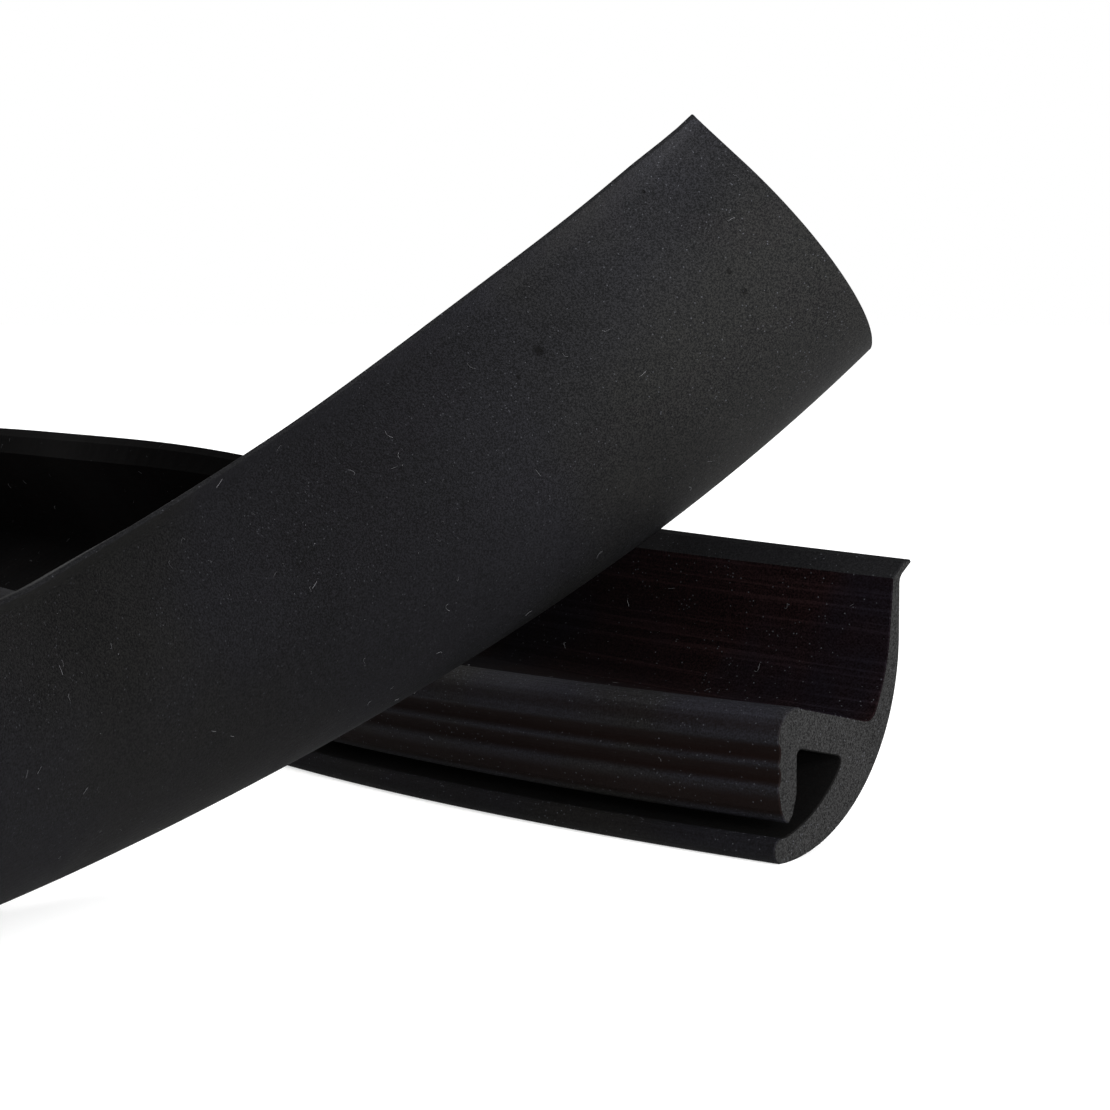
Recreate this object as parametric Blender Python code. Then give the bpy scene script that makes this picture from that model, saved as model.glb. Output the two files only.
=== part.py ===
"""Windshield trim strip: one length of black rubber extrusion, bent round into an open loop.

The strip is one solid. A section is drawn once, then swept along a path that is worked out from the
strip's length and from how its two free ends lie. Units are metres and angles are degrees. +Z is up,
+X is to the right and the loop lies to the left of the two free ends.

The section is drawn with its origin at the bottom of the cap's rim: `out` points from the loop's inside to
its outside and `up` points from the rim towards the lip.
"""
import math

import bmesh
import bpy
import numpy as np

# Length of the cut strip.
STRIP_LENGTH = 1.500

# Cap: a curved wall on one arc, with a rounded rim below and a thin lip above.
CAP_RADIUS = 0.0180
CAP_ARC = 105.0
RIM_OVERHANG = 2.0
RIM_THICKNESS = 0.0023
CAP_WALL_AT_CHANNEL = 0.0046
CAP_WALL_AT_WEB = 0.0028
CAP_WALL_AT_LIP = 0.0010
LIP_LENGTH = 0.0029
LIP_THICKNESS = 0.0004
LIP_FLARE = 35.0
LIP_BACK_LENGTH = 0.0026
LIP_BACK_FLARE = 51.0

# Web: the shelf behind the cap that carries the leg.
WEB_THICKNESS = 0.0035
WEB_SLOPE = 13.0
WEB_TOP_HEIGHT = 0.0112
WEB_TOP_AT = 0.0108
VALLEY_RADIUS = 0.0016

# Leg: hangs from the web and closes the channel to a narrow mouth.
LEG_THICKNESS = 0.0029
LEG_OUTER_AT = -0.00125
LEG_CORNER_RADIUS = 0.0027
LEG_TIP_WIDTH = 0.0012
LEG_INNER_TAPER = 0.0024
MOUTH_GAP = 0.0010
GROOVE_COUNT = 2
GROOVE_PITCH = 0.0020
GROOVE_DEPTH = 0.0004
CHANNEL_CORNER = 0.0006

# How the free ends lie, seen from above: headings are counterclockwise from +X along the strip, and
# near both ends the strip bends outwards, with these radii at each step from the end.
BACK_END_HEADING = 140.6
BACK_BEND_RADII = (0.290, 0.231, 0.249)
BACK_BEND_STEP = 0.054
FRONT_END_HEADING = 12.7
FRONT_BEND_RADII = (0.168, 0.123, 0.120)
FRONT_BEND_STEP = 0.047
FRONT_END_FROM_BACK_X = 0.0113
FRONT_END_FROM_BACK_Y = 0.0360

# How the front end climbs over the back end.
RISE_LENGTH = 0.121
CROSSING_GAP = 0.0005

# Lean of the cap outwards from upright, at each step from the ends, and all round the loop between them.
BACK_LEANS = (38.8, 32.9, 25.3, 0.8, -8.9)
BACK_LEAN_STEP = 0.040
FRONT_LEANS = (16.5, 11.3, 15.7, 23.7, 36.1)
FRONT_LEAN_STEP = 0.035
LOOP_LEAN = 8.0
LEAN_SETTLE_LENGTH = 0.150

# Fineness of the faceted solid.
STATION_STEP = 0.024
CAP_STEP = 7.0
CORNER_STEP = 35.0
PATH_STEP = 0.002

# Fineness of the search for the path.
LOOP_ROUNDS = 12
CROSSING_ROUNDS = 8
FIRST_EASE_SHARE = 0.05
FIRST_END_PITCH = 42.0
HEADING_WEIGHT = 0.01

RUBBER_COLOUR = (0.012, 0.012, 0.013, 1.0)
RUBBER_ROUGHNESS = 0.62
SHARP_ANGLE = 50.0


def arc_points(centre, radius, start, end, step):
    """Points on an arc from one angle to another, both ends included."""
    count = max(1, math.ceil(abs(end - start) / step))
    angles = np.radians(np.linspace(start, end, count + 1))
    return [(centre[0] + radius * math.cos(a), centre[1] + radius * math.sin(a)) for a in angles]


def direction(angle):
    """The unit vector at an angle."""
    return np.array([math.cos(math.radians(angle)), math.sin(math.radians(angle))])


def line_crossing(point_a, angle_a, point_b, angle_b):
    """Where two lines meet, each given by a point and the angle of its direction."""
    along_a = direction(angle_a)
    along_b = direction(angle_b)
    matrix = np.stack([along_a, -along_b], axis=1)
    reach = np.linalg.solve(matrix, np.subtract(point_b, point_a))[0]
    return tuple(point_a + reach * along_a)


def rounded_corner(before, corner, after, radius, step):
    """An arc that rounds a corner between two straight runs."""
    corner = np.array(corner)
    back = np.subtract(before, corner)
    back = back / np.linalg.norm(back)
    ahead = np.subtract(after, corner)
    ahead = ahead / np.linalg.norm(ahead)
    half = math.acos(float(np.clip(back @ ahead, -1.0, 1.0))) / 2
    middle = (back + ahead) / np.linalg.norm(back + ahead)
    centre = corner + middle * radius / math.sin(half)
    first = corner + back * radius / math.tan(half) - centre
    last = corner + ahead * radius / math.tan(half) - centre
    start = math.degrees(math.atan2(first[1], first[0]))
    turn = math.degrees(math.atan2(last[1], last[0])) - start
    turn = (turn + 180.0) % 360.0 - 180.0
    return arc_points(centre, radius, start, start + turn, step)


def cap_point(angle, inset):
    """A point of the cap at an angle round its arc from the rim, at a depth under the outer face."""
    radius = CAP_RADIUS - inset
    a = math.radians(angle)
    return (radius * math.sin(a), CAP_RADIUS - radius * math.cos(a))


def cap_angle(point):
    """The angle round the cap's arc of a point."""
    return math.degrees(math.atan2(point[0], CAP_RADIUS - point[1]))


def cap_outer_face():
    """The smooth outer face, from the rim up to the root of the lip."""
    count = math.ceil(CAP_ARC / CAP_STEP)
    return [cap_point(CAP_ARC * i / count, 0.0) for i in range(count + 1)]


def lip_outline():
    """The thin lip that flares outwards above the cap's outer face."""
    root = np.array(cap_point(CAP_ARC, 0.0))
    inner_root = np.array(cap_point(CAP_ARC, CAP_WALL_AT_LIP))
    tip = root + direction(LIP_FLARE) * LIP_LENGTH
    top = tip + direction(LIP_FLARE + 90.0) * LIP_THICKNESS
    shoulder = inner_root + direction(LIP_BACK_FLARE) * LIP_BACK_LENGTH
    return [tuple(tip), tuple(top), tuple(shoulder)]


def cap_inner_face():
    """The inner face of the cap above the web, thinning towards the lip, and the valley at its foot."""
    web_top = (WEB_TOP_AT, WEB_TOP_HEIGHT)
    span = CAP_ARC - cap_angle(web_top)
    count = math.ceil(span / CAP_STEP)
    face = []
    for i in range(count):
        share = i / count
        wall = CAP_WALL_AT_LIP + (CAP_WALL_AT_WEB - CAP_WALL_AT_LIP) * share
        face.append(cap_point(CAP_ARC - span * share, wall))
    before = face[-2]
    foot = face[-1]
    slope = math.degrees(math.atan2(foot[1] - before[1], foot[0] - before[0]))
    corner = line_crossing(foot, slope, web_top, 180.0 - WEB_SLOPE)
    leg_side = corner + direction(180.0 - WEB_SLOPE)
    return face[:-1] + rounded_corner(before, corner, leg_side, VALLEY_RADIUS, CORNER_STEP)


def channel_corners():
    """The channel's two upper corners: under the leg, and on the cap, given as an angle round its arc."""
    drop = WEB_THICKNESS / math.cos(math.radians(WEB_SLOPE))
    roof = (WEB_TOP_AT, WEB_TOP_HEIGHT - drop)
    leg_corner = line_crossing(roof, 180.0 - WEB_SLOPE, (LEG_OUTER_AT + LEG_THICKNESS, 0.0), 90.0)
    wall_angle = cap_angle(roof)
    for _ in range(LOOP_ROUNDS):
        wall_top = cap_point(wall_angle, CAP_WALL_AT_CHANNEL)
        level = leg_corner[1] - (wall_top[0] - leg_corner[0]) * math.tan(math.radians(WEB_SLOPE))
        wall_angle += math.degrees((level - wall_top[1]) / CAP_RADIUS)
    return leg_corner, wall_angle


def wall_inset(angle, wall_angle):
    """Thickness of the cap beside the channel, which thins towards the rim."""
    return RIM_THICKNESS + (CAP_WALL_AT_CHANNEL - RIM_THICKNESS) * angle / wall_angle


def leg_bottom(tip_out):
    """Height of the leg's tip, which leaves the mouth's gap to the cap."""
    _, wall_angle = channel_corners()
    angle = math.degrees(math.asin(tip_out / (CAP_RADIUS - RIM_THICKNESS)))
    reach = CAP_RADIUS - wall_inset(angle, wall_angle) - MOUTH_GAP
    return CAP_RADIUS - math.sqrt(reach**2 - tip_out**2)


def leg_outline():
    """The web's outer corner, the grooved leg and its tapered tip, up to the channel."""
    web_top = (WEB_TOP_AT, WEB_TOP_HEIGHT)
    corner = line_crossing(web_top, 180.0 - WEB_SLOPE, (LEG_OUTER_AT, 0.0), 90.0)
    inner = LEG_OUTER_AT + LEG_THICKNESS
    tip = inner - LEG_TIP_WIDTH
    bottom = leg_bottom(tip)
    points = rounded_corner(web_top, corner, (LEG_OUTER_AT, bottom), LEG_CORNER_RADIUS, CORNER_STEP)
    first_crest = points[-1][1]
    for i in range(GROOVE_COUNT):
        crest = first_crest - i * GROOVE_PITCH
        points.append((LEG_OUTER_AT + GROOVE_DEPTH, crest - GROOVE_PITCH / 2))
        points.append((LEG_OUTER_AT, crest - GROOVE_PITCH))
    points.append((tip - LEG_TIP_WIDTH, bottom + LEG_TIP_WIDTH))
    points.append((tip - LEG_TIP_WIDTH / 2, bottom + LEG_TIP_WIDTH / 4))
    points.append((tip, bottom))
    points.append((tip + LEG_TIP_WIDTH / 2, bottom + LEG_TIP_WIDTH / 2))
    points.append((inner, bottom + LEG_INNER_TAPER))
    return points


def rim_centre():
    """The centre of the rim's round nose."""
    return cap_point(-RIM_OVERHANG, RIM_THICKNESS / 2)


def channel_outline():
    """The channel's roof under the web, its outer wall, and the rounded nose of the rim."""
    leg_corner, wall_angle = channel_corners()
    count = math.ceil(wall_angle / CAP_STEP)
    angles = np.linspace(wall_angle, 0.0, count + 1)
    wall = [cap_point(angle, wall_inset(angle, wall_angle)) for angle in angles]
    below_leg_corner = leg_corner - direction(90.0)
    points = rounded_corner(below_leg_corner, leg_corner, wall[0], CHANNEL_CORNER, 2 * CORNER_STEP)
    points += rounded_corner(leg_corner, wall[0], wall[1], CHANNEL_CORNER, 2 * CORNER_STEP)
    points += wall[1:]
    points += arc_points(rim_centre(), RIM_THICKNESS / 2, 90.0 - RIM_OVERHANG, 270.0 - RIM_OVERHANG, CORNER_STEP)
    return points


def section_outline():
    """The closed outline of the section as (out, up) pairs, once round."""
    points = cap_outer_face() + lip_outline() + cap_inner_face() + leg_outline() + channel_outline()
    return np.array(points)


def lip_tip():
    """The outermost point of the lip, which sets the width of the cap."""
    return np.array(lip_outline()[0])


def smooth_through(knots, distance):
    """Value of a smooth curve through (distance, value) knots that are sorted by distance."""
    places = np.array([k[0] for k in knots])
    values = np.array([k[1] for k in knots])
    slopes = np.gradient(values, places)
    i = int(np.clip(np.searchsorted(places, distance) - 1, 0, len(places) - 2))
    width = places[i + 1] - places[i]
    t = float(np.clip((distance - places[i]) / width, 0.0, 1.0))
    start_share = 2 * t**3 - 3 * t**2 + 1
    end_share = 3 * t**2 - 2 * t**3
    start_pull = (t**3 - 2 * t**2 + t) * width * slopes[i]
    end_pull = (t**3 - t**2) * width * slopes[i + 1]
    return start_share * values[i] + end_share * values[i + 1] + start_pull + end_pull


def lean_at(distance):
    """Lean of the cap's chord from upright, outwards, at a distance from the back end."""
    knots = [(i * BACK_LEAN_STEP, lean) for i, lean in enumerate(BACK_LEANS)]
    knots.append((knots[-1][0] + LEAN_SETTLE_LENGTH, LOOP_LEAN))
    front = [(STRIP_LENGTH - i * FRONT_LEAN_STEP, lean) for i, lean in enumerate(FRONT_LEANS)]
    front.append((front[-1][0] - LEAN_SETTLE_LENGTH, LOOP_LEAN))
    return smooth_through(knots + front[::-1], distance)


def as_drawn(lean):
    """Turns the lean of the cap's chord into the lean of the section as it is drawn."""
    tip = lip_tip()
    return lean - math.degrees(math.atan2(tip[0], tip[1]))


def pitch_at(distance, end_pitch):
    """Upward slope of the strip towards its front end, which grows evenly over the rise."""
    from_front = STRIP_LENGTH - np.asarray(distance)
    return end_pitch * np.clip(1.0 - from_front / RISE_LENGTH, 0.0, 1.0)


def bend_knots(back_ease, front_ease, loop_bend):
    """Places along the strip and the bend there, in radians per metre, which changes evenly between them."""
    places = [i * BACK_BEND_STEP for i in range(len(BACK_BEND_RADII))]
    bends = [-1.0 / radius for radius in BACK_BEND_RADII]
    places += [places[-1] + back_ease]
    bends += [loop_bend]
    front_places = [STRIP_LENGTH - i * FRONT_BEND_STEP for i in range(len(FRONT_BEND_RADII))]
    front_bends = [-1.0 / radius for radius in FRONT_BEND_RADII]
    front_places += [front_places[-1] - front_ease]
    front_bends += [loop_bend]
    return places + front_places[::-1], bends + front_bends[::-1]


def walk_path(back_ease, front_ease, loop_bend, end_pitch):
    """Headings and places all along the strip, with the back end at the origin."""
    places, bends = bend_knots(back_ease, front_ease, loop_bend)
    count = round(STRIP_LENGTH / PATH_STEP)
    step = STRIP_LENGTH / count
    middles = (np.arange(count) + 0.5) * step
    turns = np.cumsum(np.interp(middles, places, bends)) * step
    headings = math.radians(BACK_END_HEADING) + np.concatenate([[0.0], turns])
    between = (headings[:-1] + headings[1:]) / 2
    slopes = np.radians(pitch_at(middles, end_pitch))
    steps = np.stack([np.cos(between) * np.cos(slopes), np.sin(between) * np.cos(slopes), np.sin(slopes)], 1)
    points = np.concatenate([np.zeros((1, 3)), np.cumsum(steps, axis=0) * step])
    return np.linspace(0.0, STRIP_LENGTH, count + 1), headings, points


def close_loop(end_pitch):
    """Finds the eases and the loop's bend that bring the front end to its place over the back end."""
    target = np.array([math.radians(360.0 + FRONT_END_HEADING), FRONT_END_FROM_BACK_X, FRONT_END_FROM_BACK_Y])
    weights = np.array([STRIP_LENGTH * HEADING_WEIGHT, 1.0, 1.0])
    first_ease = STRIP_LENGTH * FIRST_EASE_SHARE
    loop = np.array([first_ease, first_ease, math.radians(360.0) / STRIP_LENGTH])
    nudges = loop * 1e-4

    def miss(values):
        _, headings, points = walk_path(*values, end_pitch)
        return (np.array([headings[-1], points[-1][0], points[-1][1]]) - target) * weights

    for _ in range(LOOP_ROUNDS):
        here = miss(loop)
        columns = [(miss(loop + nudges * (np.arange(3) == i)) - here) / nudges[i] for i in range(3)]
        change = np.linalg.solve(np.array(columns).T, here)
        loop = np.maximum(loop - change, loop / 2)
    return loop


def frame_at(path, distance, end_pitch, outline):
    """Place of the section's origin and the section's out and up directions at a distance along."""
    distances, headings, points = path
    heading = float(np.interp(distance, distances, headings))
    pitch = math.radians(float(pitch_at(distance, end_pitch)))
    lean = math.radians(as_drawn(lean_at(distance)))
    place = np.array([np.interp(distance, distances, points[:, i]) for i in range(3)])
    along = np.array([math.cos(heading), math.sin(heading), 0.0])
    level_out = np.array([math.sin(heading), -math.cos(heading), 0.0])
    steep_up = np.array([0.0, 0.0, math.cos(pitch)]) - along * math.sin(pitch)
    up = steep_up * math.cos(lean) + level_out * math.sin(lean)
    out = level_out * math.cos(lean) - steep_up * math.sin(lean)
    lowest = (outline[:, 1] * math.cos(lean) - outline[:, 0] * math.sin(lean)).min()
    place[2] -= lowest * math.cos(pitch)
    return place, out, up


def ring_at(path, distance, end_pitch, outline):
    """The section's points in space at a distance along the strip."""
    place, out, up = frame_at(path, distance, end_pitch, outline)
    return place + outline[:, :1] * out + outline[:, 1:] * up


def crossing_gap(path, end_pitch, outline):
    """Clear distance from the back end's lip up to the front end where they cross, and the front end's height."""
    reach = np.arange(0.0, RISE_LENGTH, PATH_STEP)
    back = np.array([ring_at(path, distance, end_pitch, outline) for distance in reach])
    front = np.array([ring_at(path, STRIP_LENGTH - distance, end_pitch, outline) for distance in reach])
    top = outline[:, 1].argmax()
    lip = back[:, top]
    rim = front[:, 0]
    apart = np.linalg.norm(lip[1:-1, None, :2] - rim[None, 1:-1, :2], axis=2)
    i, j = np.array(np.unravel_index(apart.argmin(), apart.shape)) + 1
    across = np.cross(rim[j + 1] - rim[j - 1], lip[i + 1] - lip[i - 1])
    across *= math.copysign(1.0, across[2]) / np.linalg.norm(across)
    lip_rise = (back[i, top:top + 2] @ across).max()
    return (front[j] @ across).min() - lip_rise, rim[j][2]


def lay_path(outline):
    """The strip's path and its slope at the front end, which just clears the back end as it crosses over."""
    end_pitch = FIRST_END_PITCH
    for _ in range(CROSSING_ROUNDS):
        path = walk_path(*close_loop(end_pitch), end_pitch)
        gap, height = crossing_gap(path, end_pitch, outline)
        end_pitch *= 1.0 + (CROSSING_GAP - gap) / height
    return path, end_pitch


def sweep_section():
    """The strip's surface: one ring of points for each station, joined by faces, with flat cut ends."""
    outline = section_outline()
    path, end_pitch = lay_path(outline)
    count = math.ceil(STRIP_LENGTH / STATION_STEP)
    mesh = bmesh.new()
    rings = []
    for distance in np.linspace(0.0, STRIP_LENGTH, count + 1):
        rings.append([mesh.verts.new(point) for point in ring_at(path, distance, end_pitch, outline)])
    around = len(outline)
    for ring, following in zip(rings, rings[1:]):
        for i in range(around):
            j = (i + 1) % around
            mesh.faces.new((ring[i], ring[j], following[j], following[i]))
    mesh.faces.new(rings[0][::-1])
    mesh.faces.new(rings[-1])
    bmesh.ops.recalc_face_normals(mesh, faces=mesh.faces)
    return mesh


def centre_on_base(mesh):
    """Moves the surface so that the middle of its footprint is the origin and it stands on Z = 0."""
    corners = np.array([v.co for v in mesh.verts])
    low = corners.min(axis=0)
    high = corners.max(axis=0)
    shift = np.array([(low[0] + high[0]) / 2, (low[1] + high[1]) / 2, low[2]])
    bmesh.ops.translate(mesh, verts=mesh.verts, vec=-shift)


def rubber():
    """Black rubber, nearly matt."""
    material = bpy.data.materials.new("black_rubber")
    material.use_nodes = True
    shader = material.node_tree.nodes["Principled BSDF"]
    shader.inputs["Base Color"].default_value = RUBBER_COLOUR
    shader.inputs["Roughness"].default_value = RUBBER_ROUGHNESS
    shader.inputs["Metallic"].default_value = 0.0
    return material


def make_trim_strip():
    """The whole strip, as one object."""
    surface = sweep_section()
    centre_on_base(surface)
    mesh = bpy.data.meshes.new("trim_strip")
    surface.to_mesh(mesh)
    surface.free()
    mesh.shade_smooth()
    mesh.set_sharp_from_angle(angle=math.radians(SHARP_ANGLE))
    mesh.materials.append(rubber())
    strip = bpy.data.objects.new("trim_strip", mesh)
    bpy.context.scene.collection.objects.link(strip)
    return strip


def main():
    """Empties the scene and makes the strip."""
    for old in list(bpy.data.objects):
        bpy.data.objects.remove(old, do_unlink=True)
    make_trim_strip()


main()
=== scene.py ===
"""Scene of a windshield trim strip: black rubber extrusion, bent round into an open loop on a pale floor.

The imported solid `trim_strip` gives the frame. A finer sweep of the same section along the same path stands in
for it here, with rounded flutes on the leg, a nicked edge round the cuts, and a finish of its own for each
stretch of the section. Lint and dust lie on it as the photograph shows. Units are metres; angles are degrees.
"""
from __future__ import annotations

import logging
import math
from collections.abc import Callable, Mapping
from dataclasses import dataclass, field
from enum import IntEnum
from typing import Any

import bpy
import numpy as np
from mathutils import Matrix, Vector

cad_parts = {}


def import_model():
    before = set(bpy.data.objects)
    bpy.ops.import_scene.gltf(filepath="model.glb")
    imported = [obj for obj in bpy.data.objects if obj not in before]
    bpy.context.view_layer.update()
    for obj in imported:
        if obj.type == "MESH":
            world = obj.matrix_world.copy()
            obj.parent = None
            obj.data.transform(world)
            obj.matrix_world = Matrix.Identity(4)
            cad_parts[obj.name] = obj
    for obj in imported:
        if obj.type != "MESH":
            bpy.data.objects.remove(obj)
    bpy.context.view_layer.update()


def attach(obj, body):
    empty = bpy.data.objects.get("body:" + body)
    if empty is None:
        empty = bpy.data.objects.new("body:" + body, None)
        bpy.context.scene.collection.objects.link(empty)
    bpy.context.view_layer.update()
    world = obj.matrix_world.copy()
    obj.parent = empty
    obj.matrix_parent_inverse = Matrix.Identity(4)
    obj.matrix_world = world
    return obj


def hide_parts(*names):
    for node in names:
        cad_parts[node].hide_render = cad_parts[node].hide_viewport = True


LOG = logging.getLogger("trim_strip_scene")
Point = tuple[float, float]
Colour = tuple[float, float, float, float]
# Near black, which the painted shade behind the ends and in the dents, and the darker rim, blend towards.
NEAR_BLACK: Colour = (0.0004, 0.0003, 0.0003, 1.0)


class Face(IntEnum):
    """The stretches of the strip's surface that have a finish of their own."""

    OUTER = 0
    LIP = 1
    INNER = 2
    LEG = 3
    CHANNEL = 4
    CUT = 5


def direction(angle: float) -> np.ndarray:
    """Returns the unit vector at an angle."""
    return np.array([math.cos(math.radians(angle)), math.sin(math.radians(angle))])


def arc_points(centre: Point, radius: float, start: float, end: float, step: float) -> list[Point]:
    """Walks along an arc.

    Args:
        centre: Centre of the arc.
        radius: Radius of the arc.
        start: Angle of the first point.
        end: Angle of the last point.
        step: Largest angle between two points.

    Returns:
        The points, both ends included.
    """
    count = max(1, math.ceil(abs(end - start) / step))
    angles = np.radians(np.linspace(start, end, count + 1))
    return [(centre[0] + radius * math.cos(a), centre[1] + radius * math.sin(a)) for a in angles]


def line_crossing(point_a: Point, angle_a: float, point_b: Point, angle_b: float) -> Point:
    """Finds where two lines meet.

    Args:
        point_a: A point of the first line.
        angle_a: Angle of the first line.
        point_b: A point of the second line.
        angle_b: Angle of the second line.

    Returns:
        The common point.
    """
    matrix = np.stack([direction(angle_a), -direction(angle_b)], axis=1)
    reach = np.linalg.solve(matrix, np.subtract(point_b, point_a))[0]
    return tuple(point_a + reach * direction(angle_a))


def rounded_corner(before: Point, corner: Point, after: Point, radius: float, step: float) -> list[Point]:
    """Rounds a corner between two straight runs.

    Args:
        before: A point on the run that comes in.
        corner: The sharp corner.
        after: A point on the run that goes out.
        radius: Radius of the rounding.
        step: Largest angle between two points.

    Returns:
        The points of the arc that replaces the corner.
    """
    back = np.subtract(before, corner)
    back = back / np.linalg.norm(back)
    ahead = np.subtract(after, corner)
    ahead = ahead / np.linalg.norm(ahead)
    half = math.acos(float(np.clip(back @ ahead, -1.0, 1.0))) / 2
    middle = (back + ahead) / np.linalg.norm(back + ahead)
    centre = np.array(corner) + middle * radius / math.sin(half)
    first = corner + back * radius / math.tan(half) - centre
    last = corner + ahead * radius / math.tan(half) - centre
    start = math.degrees(math.atan2(first[1], first[0]))
    turn = math.degrees(math.atan2(last[1], last[0])) - start
    turn = (turn + 180.0) % 360.0 - 180.0
    return arc_points(tuple(centre), radius, start, start + turn, step)


@dataclass(frozen=True)
class TrimSection:
    """The strip's section, drawn with its origin at the bottom of the rim: out, then up."""

    cap_radius: float = 0.0180
    cap_turn: float = 90.0
    cap_arc: float = 106.5
    rim_overhang: float = 2.0
    rim_thickness: float = 0.0023
    wall_at_channel: float = 0.0046
    wall_at_web: float = 0.0028
    wall_at_lip: float = 0.0012
    lip_tip: Point = (0.019762, 0.024322)
    lip_shoulder: Point = (0.01860, 0.02455)
    lip_thickness: float = 0.0004
    lip_flare: float = 33.0
    lip_root_radius: float = 0.0010
    web_thickness: float = 0.0035
    web_slope: float = 13.0
    web_top_height: float = 0.0112
    web_top_at: float = 0.0108
    valley_radius: float = 0.0016
    leg_thickness: float = 0.0029
    leg_outer_at: float = -0.00125
    leg_corner_radius: float = 0.0027
    leg_tip_width: float = 0.0012
    leg_inner_taper: float = 0.0024
    mouth_gap: float = 0.0010
    groove_count: int = 2
    groove_pitch: float = 0.0020
    groove_depth: float = 0.0004
    channel_corner: float = 0.0006
    cap_step: float = 2.5
    corner_step: float = 12.0
    flute_steps: int = 8
    wall_rounds: int = 12

    @property
    def web_top(self) -> Point:
        """The point where the web's top meets the cap."""
        return (self.web_top_at, self.web_top_height)

    @property
    def leg_inner_at(self) -> float:
        """How far out the leg's inner side stands."""
        return self.leg_outer_at + self.leg_thickness

    def cap_point(self, angle: float, inset: float) -> Point:
        """Returns a point of the cap, which turns round its arc from the rim and then runs on straight.

        Args:
            angle: How far round from the rim, in degrees of the arc.
            inset: Depth under the outer face.

        Returns:
            The point.
        """
        radius = self.cap_radius - inset
        turned = min(angle, self.cap_turn)
        straight = self.cap_radius * math.radians(angle - turned)
        sine = math.sin(math.radians(turned))
        cosine = math.cos(math.radians(turned))
        return (radius * sine + straight * cosine, self.cap_radius - radius * cosine + straight * sine)

    def cap_angle(self, point: Point) -> float:
        """Returns the angle of a point round the cap's arc."""
        return math.degrees(math.atan2(point[0], self.cap_radius - point[1]))

    def outer_points(self) -> list[Point]:
        """Returns the smooth outer face, from the rim up to the root of the lip."""
        count = math.ceil(self.cap_arc / self.cap_step)
        return [self.cap_point(self.cap_arc * i / count, 0.0) for i in range(count)]

    def lip_root_points(self) -> list[Point]:
        """Returns the hollow under the lip, where it flares outwards from the cap."""
        root = self.cap_point(self.cap_arc, 0.0)
        below = self.cap_point(self.cap_arc - self.cap_step, 0.0)
        return rounded_corner(below, root, self.lip_tip, self.lip_root_radius, self.corner_step)

    def lip_points(self) -> list[Point]:
        """Returns the lip's round tip and the shoulder on its upper side."""
        middle = self.lip_tip + direction(self.lip_flare + 90.0) * self.lip_thickness / 2
        nose = arc_points(tuple(middle), self.lip_thickness / 2, self.lip_flare - 90.0,
                          self.lip_flare + 90.0, 3 * self.corner_step)
        return nose + [self.lip_shoulder]

    def inner_points(self) -> list[Point]:
        """Returns the cap's inner face above the web, thinner towards the lip, and the valley at its foot."""
        span = self.cap_arc - self.cap_angle(self.web_top)
        count = math.ceil(span / self.cap_step)
        face = []
        for i in range(count):
            share = i / count
            wall = self.wall_at_lip + (self.wall_at_web - self.wall_at_lip) * share
            face.append(self.cap_point(self.cap_arc - span * share, wall))
        before, foot = face[-2], face[-1]
        slope = math.degrees(math.atan2(foot[1] - before[1], foot[0] - before[0]))
        corner = line_crossing(foot, slope, self.web_top, 180.0 - self.web_slope)
        leg_side = tuple(corner + direction(180.0 - self.web_slope))
        valley = rounded_corner(before, corner, leg_side, self.valley_radius, self.corner_step)
        clear = [p for p in face if p[1] > valley[0][1] + self.lip_thickness / 2]
        return clear + valley

    def channel_corners(self) -> tuple[Point, float]:
        """Finds the channel's two upper corners.

        Returns:
            The corner under the leg, and the angle round the cap of the one on its wall.
        """
        slope = math.radians(self.web_slope)
        roof = (self.web_top_at, self.web_top_height - self.web_thickness / math.cos(slope))
        leg_corner = line_crossing(roof, 180.0 - self.web_slope, (self.leg_inner_at, 0.0), 90.0)
        wall_angle = self.cap_angle(roof)
        for _ in range(self.wall_rounds):
            wall_top = self.cap_point(wall_angle, self.wall_at_channel)
            level = leg_corner[1] - (wall_top[0] - leg_corner[0]) * math.tan(slope)
            wall_angle += math.degrees((level - wall_top[1]) / self.cap_radius)
        return leg_corner, wall_angle

    def wall_inset(self, angle: float, wall_angle: float) -> float:
        """Returns the cap's thickness beside the channel, which thins towards the rim."""
        return self.rim_thickness + (self.wall_at_channel - self.rim_thickness) * angle / wall_angle

    def leg_bottom(self, tip_out: float) -> float:
        """Returns the height of the leg's tip, which leaves the mouth's gap to the cap."""
        _, wall_angle = self.channel_corners()
        angle = math.degrees(math.asin(tip_out / (self.cap_radius - self.rim_thickness)))
        reach = self.cap_radius - self.wall_inset(angle, wall_angle) - self.mouth_gap
        return self.cap_radius - math.sqrt(reach**2 - tip_out**2)

    def leg_points(self) -> list[Point]:
        """Returns the web's outer corner, the fluted leg and its tapered tip, up to the channel."""
        corner = line_crossing(self.web_top, 180.0 - self.web_slope, (self.leg_outer_at, 0.0), 90.0)
        tip = self.leg_inner_at - self.leg_tip_width
        bottom = self.leg_bottom(tip)
        points = rounded_corner(self.web_top, corner, (self.leg_outer_at, bottom), self.leg_corner_radius,
                                self.corner_step)
        crest = points[-1][1]
        for i in range(1, self.groove_count * self.flute_steps + 1):
            share = i / self.flute_steps
            depth = self.groove_depth * abs(math.sin(math.pi * share))
            points.append((self.leg_outer_at + depth, crest - share * self.groove_pitch))
        width = self.leg_tip_width
        points.append((tip - width, bottom + width))
        points.append((tip - width / 2, bottom + width / 4))
        points.append((tip, bottom))
        points.append((tip + width / 2, bottom + width / 2))
        return points

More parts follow.
